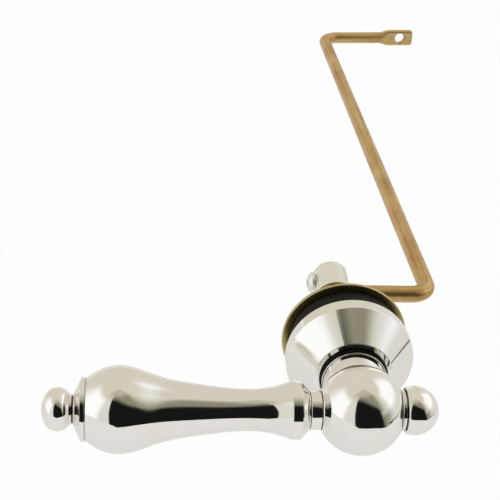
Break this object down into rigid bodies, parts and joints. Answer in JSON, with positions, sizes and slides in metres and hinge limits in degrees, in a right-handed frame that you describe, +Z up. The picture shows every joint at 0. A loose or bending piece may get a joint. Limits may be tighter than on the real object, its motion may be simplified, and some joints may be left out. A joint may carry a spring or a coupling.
{
  "type": "cistern lever",
  "caption": "Side-fitting cistern lever: turned baluster handle and ball hub on a round escutcheon, turning a spindle with a long cranked brass trip arm holed for a chain.",
  "frame": {"origin": "on the spindle axis, in the plane where the escutcheon seats on the tank's face", "axes": "+Y along the spindle into the tank, handle towards -X, +Z up"},
  "size_m": [0.16, 0.3335, 0.0383],
  "materials": {
    "polished_nickel": "polished nickel plate",
    "nickel_bar": "satin nickel plate",
    "brass": "raw satin brass, lightly tarnished",
    "steel": "bright zinc-plated steel",
    "rubber": "black moulded rubber",
    "black_nylon": "black nylon"
  },
  "bodies": {
    "mounting": {"escutcheon": "polished_nickel", "mounting_shank": "brass", "rubber_gasket": "rubber", "clamp_washer": "brass", "lock_nut": "brass", "bearing_washer": "black_nylon"},
    "lever": {"hub_ball": "polished_nickel", "neck_grub_screw": "steel", "lever_collar": "polished_nickel", "lever_handle": "polished_nickel", "handle_stud": "steel", "end_finial": "polished_nickel", "hub_finial": "polished_nickel", "spindle": "nickel_bar", "retaining_clip": "steel", "arm_screw": "steel", "trip_arm": "brass"}
  },
  "joints": [
    {"name": "lever_pivot", "type": "hinge", "parent": "mounting", "child": "lever", "pos_m": [0, 0, 0], "axis": [0, -1, 0], "range_deg": [0, 40]}
  ]
}
